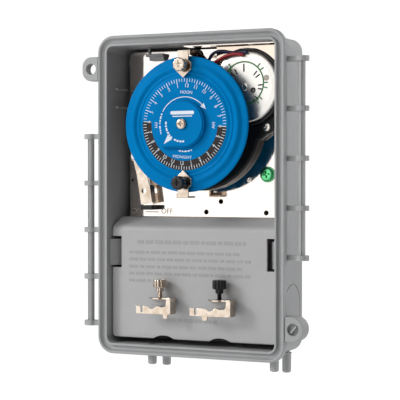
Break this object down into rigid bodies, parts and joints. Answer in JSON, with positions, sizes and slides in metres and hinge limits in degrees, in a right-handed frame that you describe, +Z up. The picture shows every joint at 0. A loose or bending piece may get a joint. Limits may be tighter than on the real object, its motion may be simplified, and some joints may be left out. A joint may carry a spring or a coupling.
{
  "type": "mechanical time switch",
  "caption": "Wall-mounted 24-hour mechanical time switch: grey plastic enclosure with its lid off, blue dial with trippers, motor drive, switch and dead-front cover.",
  "frame": {"origin": "centre of the enclosure's flat back, where it rests on the wall", "axes": "+X right seen from the front, +Y back into the wall, +Z up"},
  "size_m": [0.1734, 0.0603, 0.2384],
  "materials": {
    "enclosure": "moulded grey plastic, fine matt texture",
    "cover": "lighter grey moulded plastic, fine matt texture",
    "bright_plate": "bright nickel-plated sheet steel",
    "steel": "zinc-plated steel, lightly worn",
    "ground_green": "green-dyed steel screw",
    "black_plastic": "black moulded plastic, semi-gloss",
    "brass": "stamped brass",
    "copper": "enamelled copper winding",
    "motor_shell": "drawn metal can, satin",
    "lead_red": "red wire insulation",
    "lead_blue": "dark blue wire insulation",
    "dial_blue": "blue moulded plastic with a printed time scale",
    "clip_nickel": "bright nickel-plated spring steel",
    "black_screw": "black-finished steel"
  },
  "bodies": {
    "case": {"enclosure_body": "enclosure", "case_leg_front_left": "enclosure", "case_leg_front_right": "enclosure", "case_leg_rear_left": "enclosure", "case_leg_rear_right": "enclosure", "hinge_rail_left": "enclosure", "hinge_rail_right": "enclosure", "padlock_ear": "enclosure", "lid_boss": "enclosure", "mounting_plate": "bright_plate", "plate_screw_left": "steel", "plate_screw_right": "steel", "ground_screw": "ground_green", "plate_rivet": "steel", "lead_grommet": "black_plastic", "gear_housing": "black_plastic", "housing_screw_1": "steel", "housing_screw_2": "steel", "housing_screw_3": "steel", "dial_post": "steel", "idler_pin": "steel", "motor_bracket": "bright_plate", "motor_coil": "copper", "motor_can": "motor_shell", "motor_lead_red": "lead_red", "motor_lead_blue": "lead_blue", "pointer_hub": "dial_blue", "hub_screw": "steel", "lever_pin": "steel", "lever_spring": "steel", "switch_base": "black_plastic", "fixed_contact": "brass", "terminal_block": "black_plastic", "terminal_tab_1": "brass", "terminal_screw_1": "steel", "terminal_tab_2": "brass", "terminal_screw_2": "steel", "terminal_tab_3": "brass", "terminal_screw_3": "steel", "terminal_tab_4": "brass", "terminal_screw_4": "steel"},
    "dial": {"dial": "dial_blue", "dial_gear": "brass"},
    "idler": {"reduction_gear": "brass"},
    "rotor": {"motor_rotor": "steel"},
    "tripper_on": {"tripper_on_clip": "clip_nickel"},
    "tripper_on_knob": {"tripper_on_screw": "clip_nickel"},
    "tripper_off": {"tripper_off_clip": "clip_nickel"},
    "tripper_off_knob": {"tripper_off_screw": "black_screw"},
    "lever": {"trip_lever": "clip_nickel", "lever_shoe": "black_plastic"},
    "rocker": {"switch_rocker": "black_plastic", "rocker_blade": "brass"},
    "cover": {"dead_front_cover": "cover"},
    "spare_on": {"spare_on_clip": "clip_nickel"},
    "spare_on_knob": {"spare_on_screw": "clip_nickel"},
    "spare_off": {"spare_off_clip": "clip_nickel"},
    "spare_off_knob": {"spare_off_screw": "black_screw"}
  },
  "joints": [
    {"name": "dial_turn", "type": "hinge", "parent": "case", "child": "dial", "pos_m": [-0.002, -0.046, 0.0497], "axis": [0, -1, 0], "continuous": true},
    {"name": "idler_spin", "type": "hinge", "parent": "case", "child": "idler", "pos_m": [0.03571, -0.0205, 0.05966], "axis": [0, -1, 0], "continuous": true},
    {"name": "rotor_spin", "type": "hinge", "parent": "case", "child": "rotor", "pos_m": [0.0371, -0.0205, 0.0756], "axis": [0, -1, 0], "continuous": true},
    {"name": "tripper_on_slide", "type": "hinge", "parent": "dial", "child": "tripper_on", "pos_m": [-0.002, -0.048, 0.0497], "axis": [0, -1, 0], "range_deg": [-75, 75]},
    {"name": "tripper_on_screw_turn", "type": "hinge", "parent": "tripper_on", "child": "tripper_on_knob", "pos_m": [-0.002, -0.052, 0.0907], "axis": [0, -1, 0], "continuous": true},
    {"name": "tripper_off_slide", "type": "hinge", "parent": "dial", "child": "tripper_off", "pos_m": [-0.002, -0.048, 0.0497], "axis": [0, -1, 0], "range_deg": [-75, 75]},
    {"name": "tripper_off_screw_turn", "type": "hinge", "parent": "tripper_off", "child": "tripper_off_knob", "pos_m": [-0.002, -0.052, 0.0087], "axis": [0, -1, 0], "continuous": true},
    {"name": "lever_swing", "type": "hinge", "parent": "case", "child": "lever", "pos_m": [-0.0515, -0.026, 0.028], "axis": [0, -1, 0], "range_deg": [0, 11.5]},
    {"name": "rocker_swing", "type": "hinge", "parent": "case", "child": "rocker", "pos_m": [-0.0424, -0.022, -0.036], "axis": [0, -1, 0], "range_deg": [-17.6, 0]},
    {"name": "cover_pull", "type": "slide", "parent": "case", "child": "cover", "axis": [0, -1, 0], "range_m": [0, 0.03]},
    {"name": "spare_on_pull", "type": "slide", "parent": "cover", "child": "spare_on", "axis": [0, -1, 0], "range_m": [0, 0.015]},
    {"name": "spare_on_screw_turn", "type": "hinge", "parent": "spare_on", "child": "spare_on_knob", "pos_m": [-0.0219, -0.046, -0.068], "axis": [0, 0, 1], "continuous": true},
    {"name": "spare_off_pull", "type": "slide", "parent": "cover", "child": "spare_off", "axis": [0, -1, 0], "range_m": [0, 0.015]},
    {"name": "spare_off_screw_turn", "type": "hinge", "parent": "spare_off", "child": "spare_off_knob", "pos_m": [0.024, -0.046, -0.068], "axis": [0, 0, 1], "continuous": true}
  ],
  "couplings": [
    {"joint": "idler_spin", "follows": "dial_turn", "ratio": -2.25},
    {"joint": "rotor_spin", "follows": "dial_turn", "ratio": 6.75},
    {"joint": "rocker_swing", "follows": "lever_swing", "ratio": -1.52}
  ]
}
